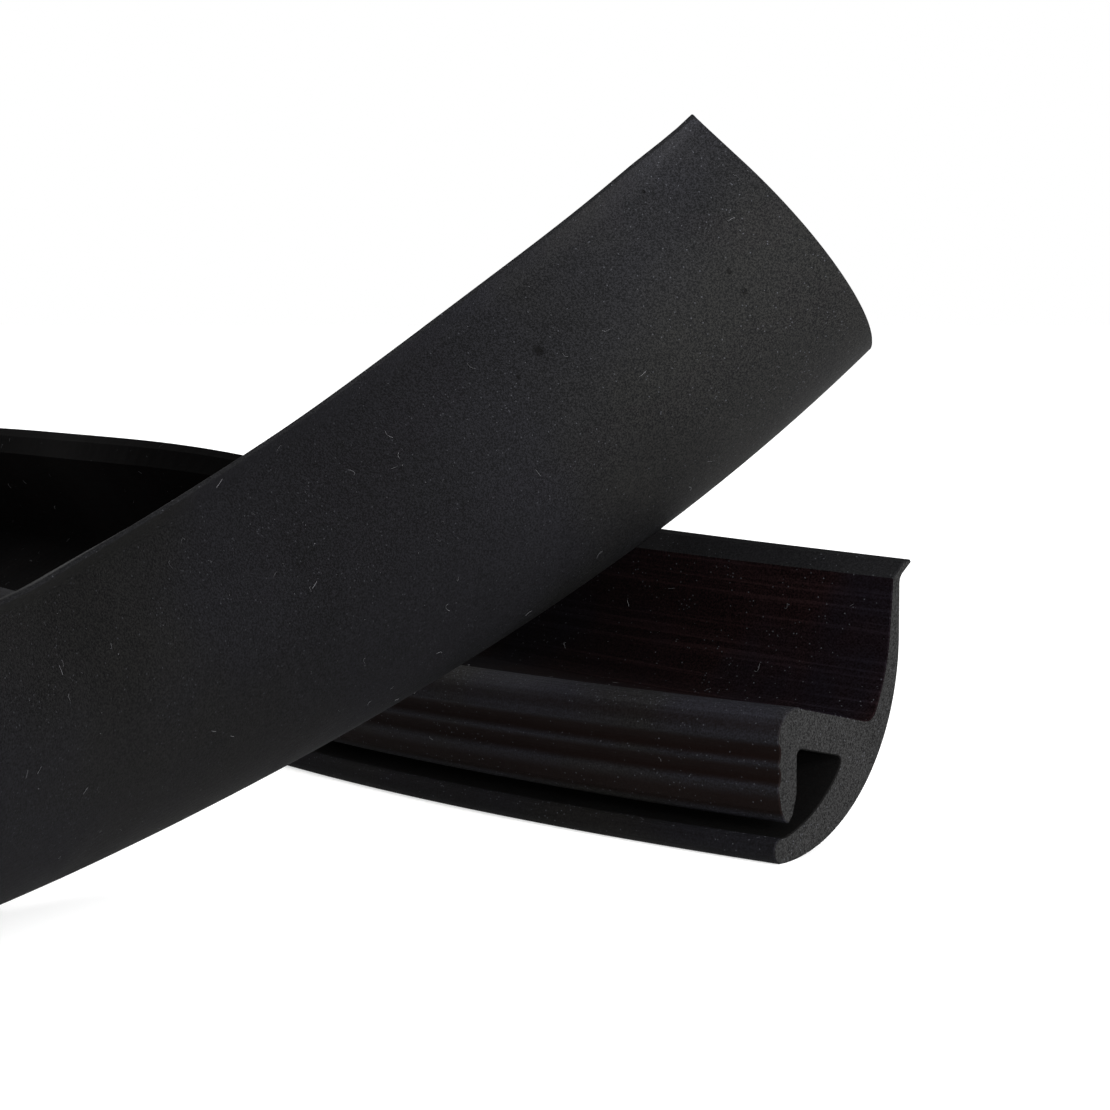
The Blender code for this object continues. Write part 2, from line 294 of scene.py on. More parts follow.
    def channel_points(self) -> list[Point]:
        """Returns the channel from the leg's inner side round its roof and wall to the nose of the rim."""
        leg_corner, wall_angle = self.channel_corners()
        count = math.ceil(wall_angle / self.cap_step / 2)
        angles = np.linspace(wall_angle, 0.0, count + 1)
        wall = [self.cap_point(angle, self.wall_inset(angle, wall_angle)) for angle in angles]
        bottom = self.leg_bottom(self.leg_inner_at - self.leg_tip_width)
        below = (leg_corner[0], leg_corner[1] - self.leg_thickness)
        points = [(self.leg_inner_at, bottom + self.leg_inner_taper)]
        points += rounded_corner(below, leg_corner, wall[0], self.channel_corner, 2 * self.corner_step)
        points += rounded_corner(leg_corner, wall[0], wall[2], self.channel_corner, 2 * self.corner_step)
        return points + wall[1:]

    def rim_points(self) -> list[Point]:
        """Returns the rim's round nose, from the channel's wall to the outer face."""
        centre = self.cap_point(-self.rim_overhang, self.rim_thickness / 2)
        start = 90.0 - self.rim_overhang
        points = arc_points(centre, self.rim_thickness / 2, start, start + 180.0, self.corner_step)
        return points[1:-1]

    def outline(self) -> tuple[np.ndarray, np.ndarray]:
        """Joins the stretches into one closed outline.

        Returns:
            The points as (out, up) rows, and the Face of the stretch that starts at each of them.
        """
        stretches = [
            (Face.OUTER, self.outer_points() + self.lip_root_points()),
            (Face.LIP, self.lip_points()),
            (Face.INNER, self.inner_points()),
            (Face.LEG, self.leg_points()),
            (Face.CHANNEL, self.channel_points()),
            (Face.LEG, self.rim_points()),
        ]
        points = np.array([p for _, stretch in stretches for p in stretch])
        faces = np.array([int(face) for face, stretch in stretches for _ in stretch])
        return points, faces

    def inward(self, points: np.ndarray) -> np.ndarray:
        """Finds the way into the rubber at each point of the outline.

        Args:
            points: The closed outline, counterclockwise.

        Returns:
            One unit vector for each point.
        """
        along = np.roll(points, -1, axis=0) - np.roll(points, 1, axis=0)
        along = along / np.linalg.norm(along, axis=1, keepdims=True)
        return np.stack([-along[:, 1], along[:, 0]], axis=1)


@dataclass(frozen=True)
class LaidPath:
    """The strip's way round the loop, from the back end to the front end that climbs over it."""

    length: float = 1.500
    start: tuple[float, float] = (0.24969131, -0.03419733)
    start_heading: float = 140.6
    back_radii: tuple[float, ...] = (0.290, 0.231, 0.249)
    back_step: float = 0.054
    back_ease: float = 0.050269277
    front_radii: tuple[float, ...] = (0.168, 0.123, 0.120)
    front_step: float = 0.047
    front_ease: float = 0.072749168
    loop_bend: float = 4.535472384
    end_pitch: float = 43.42001519
    rise_length: float = 0.121
    back_leans: tuple[float, ...] = (38.8, 32.9, 25.3, 0.8, -8.9)
    back_lean_step: float = 0.040
    front_leans: tuple[float, ...] = (16.5, 11.3, 15.7, 23.7, 36.1)
    front_lean_step: float = 0.035
    loop_lean: float = 8.0
    lean_settle: float = 0.150
    path_step: float = 0.002

    def pitch(self, distance: np.ndarray) -> np.ndarray:
        """Returns the upward slope, which grows evenly over the rise at the front end."""
        from_front = self.length - distance
        return self.end_pitch * np.clip(1.0 - from_front / self.rise_length, 0.0, 1.0)

    def lean(self, distance: np.ndarray) -> np.ndarray:
        """Returns the lean of the cap's chord outwards from upright, on a smooth curve through its knots."""
        places = [i * self.back_lean_step for i in range(len(self.back_leans))]
        places.append(places[-1] + self.lean_settle)
        front = [self.length - i * self.front_lean_step for i in range(len(self.front_leans))]
        front.append(front[-1] - self.lean_settle)
        places = np.array(places + front[::-1])
        leans = np.array([*self.back_leans, self.loop_lean, self.loop_lean, *self.front_leans[::-1]])
        slopes = np.gradient(leans, places)
        i = np.clip(np.searchsorted(places, distance) - 1, 0, len(places) - 2)
        width = places[i + 1] - places[i]
        t = np.clip((distance - places[i]) / width, 0.0, 1.0)
        end_share = 3 * t**2 - 2 * t**3
        pulls = (t**3 - 2 * t**2 + t) * slopes[i] + (t**3 - t**2) * slopes[i + 1]
        return (1.0 - end_share) * leans[i] + end_share * leans[i + 1] + pulls * width

    def walk(self) -> tuple[np.ndarray, np.ndarray, np.ndarray]:
        """Follows the bends from the back end.

        Returns:
            Distances along the strip, and the heading and the place at each.
        """
        places = [i * self.back_step for i in range(len(self.back_radii))]
        places.append(places[-1] + self.back_ease)
        front = [self.length - i * self.front_step for i in range(len(self.front_radii))]
        front.append(front[-1] - self.front_ease)
        bends = [-1.0 / radius for radius in self.back_radii] + [self.loop_bend, self.loop_bend]
        bends += [-1.0 / radius for radius in self.front_radii[::-1]]
        count = round(self.length / self.path_step)
        step = self.length / count
        middles = (np.arange(count) + 0.5) * step
        turns = np.cumsum(np.interp(middles, places + front[::-1], bends)) * step
        headings = math.radians(self.start_heading) + np.concatenate([[0.0], turns])
        between = (headings[:-1] + headings[1:]) / 2
        rise = np.radians(self.pitch(middles))
        level = np.cos(rise)
        steps = np.stack([np.cos(between) * level, np.sin(between) * level, np.sin(rise)], axis=1)
        points = np.concatenate([np.zeros((1, 3)), np.cumsum(steps, axis=0) * step])
        points[:, :2] += self.start
        return np.linspace(0.0, self.length, count + 1), headings, points

    def frames(self, distance: np.ndarray, section: TrimSection) -> tuple[np.ndarray, np.ndarray, np.ndarray]:
        """Sets the section up at each distance, with its lowest point on the path.

        Args:
            distance: Distances from the back end.
            section: The section that is carried along.

        Returns:
            The place of the section's origin and its out and up directions, one row for each distance.
        """
        walked, walked_headings, walked_points = self.walk()
        heading = np.interp(distance, walked, walked_headings)
        place = np.stack([np.interp(distance, walked, walked_points[:, i]) for i in range(3)], axis=1)
        tip = section.lip_tip
        lean = np.radians(self.lean(distance) - math.degrees(math.atan2(tip[0], tip[1])))[:, None]
        pitch = np.radians(self.pitch(distance))[:, None]
        along = np.stack([np.cos(heading), np.sin(heading), np.zeros_like(heading)], axis=1)
        level_out = np.stack([np.sin(heading), -np.cos(heading), np.zeros_like(heading)], axis=1)
        steep_up = np.array([0.0, 0.0, 1.0]) * np.cos(pitch) - along * np.sin(pitch)
        up = steep_up * np.cos(lean) + level_out * np.sin(lean)
        out = level_out * np.cos(lean) - steep_up * np.sin(lean)
        points, _ = section.outline()
        heights = points[:, 1] * np.cos(lean) - points[:, 0] * np.sin(lean)
        place[:, 2] -= heights.min(axis=1) * np.cos(pitch[:, 0])
        return place, out, up


class NodeSheet:
    """Adds nodes to one tree and joins them."""

    def __init__(self, tree: bpy.types.NodeTree) -> None:
        """Starts on a tree."""
        self.tree = tree

    def add(self, kind: str, inputs: Mapping[Any, Any] | None = None, **settings: Any) -> bpy.types.Node:
        """Adds a node.

        Args:
            kind: The node's type name.
            inputs: Values or other nodes' sockets, by input name or number.
            **settings: The node's own settings.

        Returns:
            The new node.
        """
        node = self.tree.nodes.new(kind)
        for name, value in settings.items():
            setattr(node, name, value)
        for name, value in (inputs or {}).items():
            self.feed(node.inputs[name], value)
        return node

    def feed(self, socket: bpy.types.NodeSocket, value: Any) -> None:
        """Links a socket to another, or gives it a value."""
        if isinstance(value, bpy.types.NodeSocket):
            self.tree.links.new(value, socket)
        else:
            socket.default_value = value

    def math(self, operation: str, a: Any, b: Any = 0.0, clamp: bool = False) -> bpy.types.NodeSocket:
        """Returns the result of a sum on one or two numbers."""
        return self.add("ShaderNodeMath", {0: a, 1: b}, operation=operation, use_clamp=clamp).outputs[0]

    def vector_math(self, operation: str, a: Any, b: Any) -> bpy.types.NodeSocket:
        """Returns the result of a sum on two vectors."""
        return self.add("ShaderNodeVectorMath", {0: a, 1: b}, operation=operation).outputs[0]

    def scaled(self, vector: Any, factor: Any) -> bpy.types.NodeSocket:
        """Returns a vector times a number."""
        node = self.add("ShaderNodeVectorMath", {"Vector": vector, "Scale": factor}, operation="SCALE")
        return node.outputs[0]

    def ramp(self, value: Any, low: float, high: float, to: Point = (0.0, 1.0)) -> bpy.types.NodeSocket:
        """Returns a value that changes smoothly from one number to another between two limits."""
        inputs = {"Value": value, 1: low, 2: high, 3: to[0], 4: to[1]}
        return self.add("ShaderNodeMapRange", inputs, interpolation_type="SMOOTHSTEP").outputs[0]

    def mix(self, share: Any, a: Any, b: Any) -> bpy.types.NodeSocket:
        """Returns a blend of two colours."""
        node = self.add("ShaderNodeMix", {0: share, 6: a, 7: b}, data_type="RGBA")
        return node.outputs[2]

    def noise(self, vector: Any, scale: Any, detail: float = 2.0,
              roughness: float = 0.5) -> bpy.types.NodeSocket:
        """Returns the value of a noise pattern."""
        inputs = {"Vector": vector, "Scale": scale, "Detail": detail, "Roughness": roughness}
        return self.add("ShaderNodeTexNoise", inputs).outputs[0]

    def group(self, tree: bpy.types.NodeTree, inputs: Mapping[str, Any]) -> bpy.types.Node:
        """Places a node group and fills its inputs by name."""
        kind = "ShaderNodeGroup" if tree.type == "SHADER" else "GeometryNodeGroup"
        node = self.tree.nodes.new(kind)
        node.node_tree = tree
        for name, value in inputs.items():
            self.feed(node.inputs[name], value)
        return node


def new_group(name: str, kind: str, inputs: Mapping[str, tuple[str, Any]],
              outputs: Mapping[str, str]) -> tuple[NodeSheet, bpy.types.Node, bpy.types.Node]:
    """Starts a node group with named sockets.

    Args:
        name: The group's name.
        kind: ShaderNodeTree or GeometryNodeTree.
        inputs: Socket type and first value of each input, or None for no value.
        outputs: Socket type of each output.

    Returns:
        The sheet to draw on, the group's input node and its output node.
    """
    tree = bpy.data.node_groups.new(name, kind)
    for label, (socket_type, value) in inputs.items():
        socket = tree.interface.new_socket(label, in_out="INPUT", socket_type=socket_type)
        if value is not None:
            socket.default_value = value
    for label, socket_type in outputs.items():
        tree.interface.new_socket(label, in_out="OUTPUT", socket_type=socket_type)
    sheet = NodeSheet(tree)
    return sheet, sheet.add("NodeGroupInput"), sheet.add("NodeGroupOutput")


class SurfaceEffects:
    """Shader node groups that more than one finish uses."""

    coarse_scale = 0.35
    fine_share = 0.5
    coarse_share = 0.8
    facet_limits = (0.32, 0.70)
    line_limits = (0.50, 0.66)
    speck_edge = (0.15, 0.45)
    dust_patches = 90.0
    dust_patch_limits = (0.25, 0.80)

    def __init__(self) -> None:
        """Builds each group once."""
        self.grain = self._make_grain()
        self.drawn_lines = self._make_drawn_lines()
        self.dust = self._make_dust()

    def _make_grain(self) -> bpy.types.NodeTree:
        """Makes the fine matt grain of moulded rubber: its height, and the small facets that catch light."""
        inputs = {"Vector": ("NodeSocketVector", None), "Grains Per Metre": ("NodeSocketFloat", 6000.0)}
        outputs = {"Height": "NodeSocketFloat", "Tone": "NodeSocketFloat"}
        sheet, given, result = new_group("rubber_grain", "ShaderNodeTree", inputs, outputs)
        vector, scale = given.outputs["Vector"], given.outputs["Grains Per Metre"]
        fine = sheet.noise(vector, scale, 1.0, 0.5)
        coarse = sheet.noise(vector, sheet.math("MULTIPLY", scale, self.coarse_scale), 3.0, 0.65)
        height = sheet.math("ADD", sheet.math("MULTIPLY", fine, self.fine_share),
                            sheet.math("MULTIPLY", coarse, self.coarse_share))
        sheet.feed(result.inputs["Height"], height)
        sheet.feed(result.inputs["Tone"], sheet.ramp(fine, *self.facet_limits))
        return sheet.tree

    def _make_drawn_lines(self) -> bpy.types.NodeTree:
        """Makes the fine lines that the die leaves all along the strip."""
        inputs = {
            "Strip Place": ("NodeSocketVector", None),
            "Lines Per Metre": ("NodeSocketFloat", 2500.0),
            "Breaks Per Metre": ("NodeSocketFloat", 25.0),
        }
        outputs = {"Height": "NodeSocketFloat", "Mask": "NodeSocketFloat"}
        sheet, given, result = new_group("drawn_lines", "ShaderNodeTree", inputs, outputs)
        across, breaks = given.outputs["Lines Per Metre"], given.outputs["Breaks Per Metre"]
        stretch = sheet.add("ShaderNodeCombineXYZ", {0: across, 1: across, 2: breaks}).outputs[0]
        place = sheet.vector_math("MULTIPLY", given.outputs["Strip Place"], stretch)
        height = sheet.noise(place, 1.0, 2.0, 0.6)
        sheet.feed(result.inputs["Height"], height)
        sheet.feed(result.inputs["Mask"], sheet.ramp(height, *self.line_limits))
        return sheet.tree

    def _make_dust(self) -> bpy.types.NodeTree:
        """Makes a bloom of fine pale specks that gathers in patches."""
        inputs = {
            "Vector": ("NodeSocketVector", None),
            "Specks Per Metre": ("NodeSocketFloat", 1500.0),
            "Cover": ("NodeSocketFloat", 0.5),
        }
        sheet, given, result = new_group("dust_bloom", "ShaderNodeTree", inputs, {"Mask": "NodeSocketFloat"})
        vector, scale = given.outputs["Vector"], given.outputs["Specks Per Metre"]
        cells = sheet.add("ShaderNodeTexVoronoi", {"Vector": vector, "Scale": scale})
        speck = sheet.ramp(cells.outputs["Distance"], *self.speck_edge, (1.0, 0.0))
        chance = sheet.add("ShaderNodeSeparateColor", {0: cells.outputs["Color"]}).outputs[1]
        patch = sheet.noise(vector, self.dust_patches, 3.0, 0.6)
        level = sheet.math("MULTIPLY", sheet.ramp(patch, *self.dust_patch_limits), given.outputs["Cover"])
        kept = sheet.math("LESS_THAN", chance, level)
        sheet.feed(result.inputs["Mask"], sheet.math("MULTIPLY", speck, kept))
        return sheet.tree


@dataclass(frozen=True)
class Dent:
    """A small round dent, placed on the straight strip."""

    out: float
    up: float
    along: float
    radius: float
    depth: float


@dataclass(frozen=True)
class RubberFinish:
    """How one stretch of the strip's surface looks."""

    name: str
    dark: Colour
    light: Colour
    patch_light: Colour | None = None
    patches: float = 26.0
    patch_limits: Point = (0.42, 0.60)
    dust: Colour = (0.036, 0.037, 0.042, 1.0)
    roughness: float = 0.70
    roughness_spread: float = 0.05
    gloss: float = 0.04
    grains: float = 6200.0
    grain_height: float = 0.00003
    grain_tint: float = 0.6
    lines: float = 2500.0
    breaks: float = 25.0
    line_height: float = 0.0
    line_tint: float = 0.0
    specks: float = 4800.0
    dust_cover: float = 0.08
    settled_dust: float = 0.0
    # How much lighter faces that look upwards are: painted light.
    top_painted_light: float = 0.0
    cloud: float = 0.18
    clouds: float = 60.0
    cloud_limits: Point = (0.32, 0.68)
    pore: float = 0.0
    pores: float = 3300.0
    pore_size: float = 0.42
    # How far pores and dents are darkened: painted shade in the hollows.
    painted_hollow_shade: float = 0.75
    # The next four fields set painted shade: how dark, where it grows in from each end, where it eases off, and
    # how far the front end's stretch is moved back.
    painted_shade: float = 0.0
    painted_shade_reach: Point = (0.0, 0.080)
    painted_shade_end: Point = (0.22, 0.34)
    front_spare: float = 0.0
    # The next two fields set painted light: how much lighter, and the heights over which the hollow under the
    # lip turns lighter.
    lip_painted_light: float = 0.0
    lip_painted_light_reach: Point = (0.0231, 0.0236)
    # Colour of the painted shade on the leg's fluted side, darkest in the hollows.
    groove_shade: Colour | None = None
    rim_share: float = 0.55
    dents: tuple[Dent, ...] = ()

    def make(self, effects: SurfaceEffects) -> bpy.types.Material:
        """Builds the material.

        Args:
            effects: The shared node groups.

        Returns:
            The material, which reads Object coordinates and the strip's own place attribute.
        """
        material = bpy.data.materials.new(self.name)
        material.use_nodes = True
        sheet = NodeSheet(material.node_tree)
        shader = material.node_tree.nodes["Principled BSDF"]
        shader.inputs["Specular IOR Level"].default_value = self.gloss
        vector = sheet.add("ShaderNodeTexCoord").outputs["Object"]
        place = sheet.add("ShaderNodeAttribute", attribute_name="strip_place").outputs["Vector"]
        grain = sheet.group(effects.grain, {"Vector": vector, "Grains Per Metre": self.grains})
        lines = sheet.group(effects.drawn_lines, {
            "Strip Place": place, "Lines Per Metre": self.lines, "Breaks Per Metre": self.breaks})
        normal = sheet.add("ShaderNodeNewGeometry").outputs["Normal"]
        facing = sheet.add("ShaderNodeSeparateXYZ", {0: normal})
        upward = sheet.ramp(facing.outputs["Z"], 0.2, 1.0)
        cover = sheet.math("ADD", sheet.math("MULTIPLY", upward, self.settled_dust), self.dust_cover)
        dust = sheet.group(effects.dust, {
            "Vector": vector, "Specks Per Metre": self.specks, "Cover": cover})
        cloud = sheet.ramp(sheet.noise(vector, self.clouds, 4.0, 0.62), *self.cloud_limits)
        parts = sheet.add("ShaderNodeSeparateXYZ", {0: place})
        # Painted light: the hollow under the lip, at the top of the outer face, turns lighter.
        lip_light_share = sheet.ramp(parts.outputs["Y"], *self.lip_painted_light_reach)
        tint = sheet.math("MULTIPLY", grain.outputs["Tone"], self.grain_tint)
        # Grain tone, clouds and die lines are the rubber's own tone; the share on upward faces and the one in
        # the hollow under the lip are painted light.
        for share, amount in ((cloud, self.cloud), (lines.outputs["Mask"], self.line_tint),
                              (upward, self.top_painted_light), (lip_light_share, self.lip_painted_light)):
            tint = sheet.math("ADD", tint, sheet.math("MULTIPLY", share, amount), clamp=True)
        light = self.light
        if self.patch_light:
            patches = sheet.ramp(sheet.noise(vector, self.patches, 3.0), *self.patch_limits)
            light = sheet.mix(patches, self.light, self.patch_light)
        colour = sheet.mix(tint, self.dark, light)
        if self.groove_shade:
            colour = self._add_grooves(sheet, parts, colour)
        colour = sheet.mix(dust.outputs["Mask"], colour, self.dust)
        spread = self.roughness_spread
        rough = sheet.ramp(cloud, 0.0, 1.0, (self.roughness - spread, self.roughness + spread))
        # Painted shade: darker towards near black over a stretch behind each end.
        if self.painted_shade:
            colour, rough = self._add_painted_shade(sheet, parts.outputs["Z"], colour, rough)
        height = sheet.math("MULTIPLY", grain.outputs["Height"], self.grain_height)
        height = sheet.math("ADD", height, sheet.math("MULTIPLY", lines.outputs["Height"], self.line_height))
        if self.pore:
            pores, colour = self._add_pores(sheet, vector, colour)
            height = sheet.math("SUBTRACT", height, sheet.math("MULTIPLY", pores, self.pore))
        for dent in self.dents:
            hollow, colour = self._add_dent(sheet, place, dent, colour)
            height = sheet.math("SUBTRACT", height, hollow)
        bump = sheet.add("ShaderNodeBump", {"Height": height, "Strength": 1.0, "Distance": 1.0})
        sheet.feed(shader.inputs["Base Color"], colour)
        sheet.feed(shader.inputs["Roughness"], rough)
        sheet.feed(shader.inputs["Normal"], bump.outputs["Normal"])
        return material

    def _add_grooves(self, sheet: NodeSheet, parts: bpy.types.Node,
                     colour: bpy.types.NodeSocket) -> bpy.types.NodeSocket:
        """Darkens the leg's fluted side with painted shade, most in the hollows, and darkens the rim below it.

        Args:
            sheet: The material's sheet.
            parts: The node that gives the point's place on the straight strip, part by part.
            colour: The colour so far.

        Returns:
            The colour with the grooves in it.
        """
        section = TrimSection()
        outer, depth = section.leg_outer_at, section.groove_depth
        crest = section.leg_points()[0][1]
        beside = sheet.ramp(parts.outputs["X"], outer + 1.5 * depth, outer + 2.5 * depth, (1.0, 0.0))
        below = sheet.ramp(parts.outputs["Y"], crest - section.leg_corner_radius, crest, (1.0, 0.0))
        above = sheet.ramp(parts.outputs["Y"], section.rim_thickness, section.rim_thickness + 2 * depth)
        flank = sheet.math("MULTIPLY", sheet.math("MULTIPLY", beside, below), above)
        # Painted shade: the flute hollows take the full shade colour, the crests a tenth of it.
        hollow = sheet.ramp(parts.outputs["X"], outer, outer + 0.8 * depth, (0.10, 1.0))
        colour = sheet.mix(sheet.math("MULTIPLY", flank, hollow), colour, self.groove_shade)
        rim = sheet.math("MULTIPLY", sheet.math("SUBTRACT", 1.0, above), self.rim_share)
        return sheet.mix(rim, colour, NEAR_BLACK)

    def _add_painted_shade(self, sheet: NodeSheet, along: bpy.types.NodeSocket, colour: bpy.types.NodeSocket,
                  rough: bpy.types.NodeSocket) -> tuple[bpy.types.NodeSocket, bpy.types.NodeSocket]:
        """Paints shade: darkens the colour towards near black over a stretch behind each end, which grows in
        from the end and eases off further along.

        Args:
            sheet: The material's sheet.
            along: The distance along the strip.
            colour: The colour so far.
            rough: The roughness so far.

        Returns:
            The colour with the painted shade in it, and the roughness, which grows where the shade is painted.
        """
        front = sheet.math("SUBTRACT", LaidPath().length - self.front_spare, along)
        from_end = sheet.math("MINIMUM", along, front)
        shade_share = sheet.math("MULTIPLY", sheet.ramp(from_end, *self.painted_shade_reach),
                          sheet.ramp(from_end, *self.painted_shade_end, (self.painted_shade, 0.0)))
        rougher = sheet.math("MULTIPLY", shade_share, 1.0 - self.roughness)
        return sheet.mix(shade_share, colour, NEAR_BLACK), sheet.math("ADD", rough, rougher, clamp=True)

    def _add_pores(self, sheet: NodeSheet, vector: bpy.types.NodeSocket,
                   colour: bpy.types.NodeSocket) -> tuple[bpy.types.NodeSocket, bpy.types.NodeSocket]:
        """Sinks fine pores into a cut face and paints shade into them.

        Args:
            sheet: The material's sheet.
            vector: The pattern's coordinates.
            colour: The colour so far.

        Returns:
            The pores' mask and the darkened colour.
        """
        cells = sheet.add("ShaderNodeTexVoronoi", {"Vector": vector, "Scale": self.pores})
        chance = sheet.add("ShaderNodeSeparateColor", {0: cells.outputs["Color"]}).outputs[2]
        size = sheet.ramp(chance, 0.35, 1.0, (0.0, self.pore_size))
        pores = sheet.math("LESS_THAN", cells.outputs["Distance"], size)
        return pores, sheet.mix(sheet.math("MULTIPLY", pores, self.painted_hollow_shade), colour, self.dark)

    def _add_dent(self, sheet: NodeSheet, place: bpy.types.NodeSocket, dent: Dent,
                  colour: bpy.types.NodeSocket) -> tuple[bpy.types.NodeSocket, bpy.types.NodeSocket]:
        """Presses one small round dent into the surface and paints shade into it.

        Args:
            sheet: The material's sheet.
            place: The strip's own place attribute.
            dent: The dent's place and sizes.
            colour: The colour so far.

        Returns:
            The dent's depth and the darkened colour.
        """
        middle = (dent.out, dent.up, dent.along)
        away = sheet.add("ShaderNodeVectorMath", {0: place, 1: middle}, operation="DISTANCE").outputs["Value"]
        mask = sheet.ramp(away, dent.radius / 4, dent.radius, (1.0, 0.0))
        # Painted shade in the dent: darker towards near black.
        shaded = sheet.mix(sheet.math("MULTIPLY", mask, self.painted_hollow_shade), colour, NEAR_BLACK)
        return sheet.math("MULTIPLY", mask, dent.depth), shaded


def plain_mesh(piece: bpy.types.Object) -> bpy.types.Object:
    """Turns what a piece's modifiers make into its own plain mesh.

    Args:
        piece: The object with live modifiers.

    Returns:
        The same object, with the made mesh and no modifier.
    """
    graph = bpy.context.evaluated_depsgraph_get()
    made = bpy.data.meshes.new_from_object(piece.evaluated_get(graph), depsgraph=graph)
    made.name = piece.name
    piece.modifiers.clear()
    piece.data = made
    return piece


def set_inputs(modifier: bpy.types.NodesModifier, values: Mapping[str, Any]) -> None:
    """Fills a modifier's inputs by the identifiers of the sockets that carry these names."""
    for item in modifier.node_group.interface.items_tree:
        if item.item_type == "SOCKET" and item.in_out == "INPUT" and item.name in values:
            modifier[item.identifier] = values[item.name]


def object_of(name: str, mesh: bpy.types.Mesh) -> bpy.types.Object:
    """Links a new object at the origin that shows a mesh."""
    made = bpy.data.objects.new(name, mesh)
    bpy.context.scene.collection.objects.link(made)
    return made


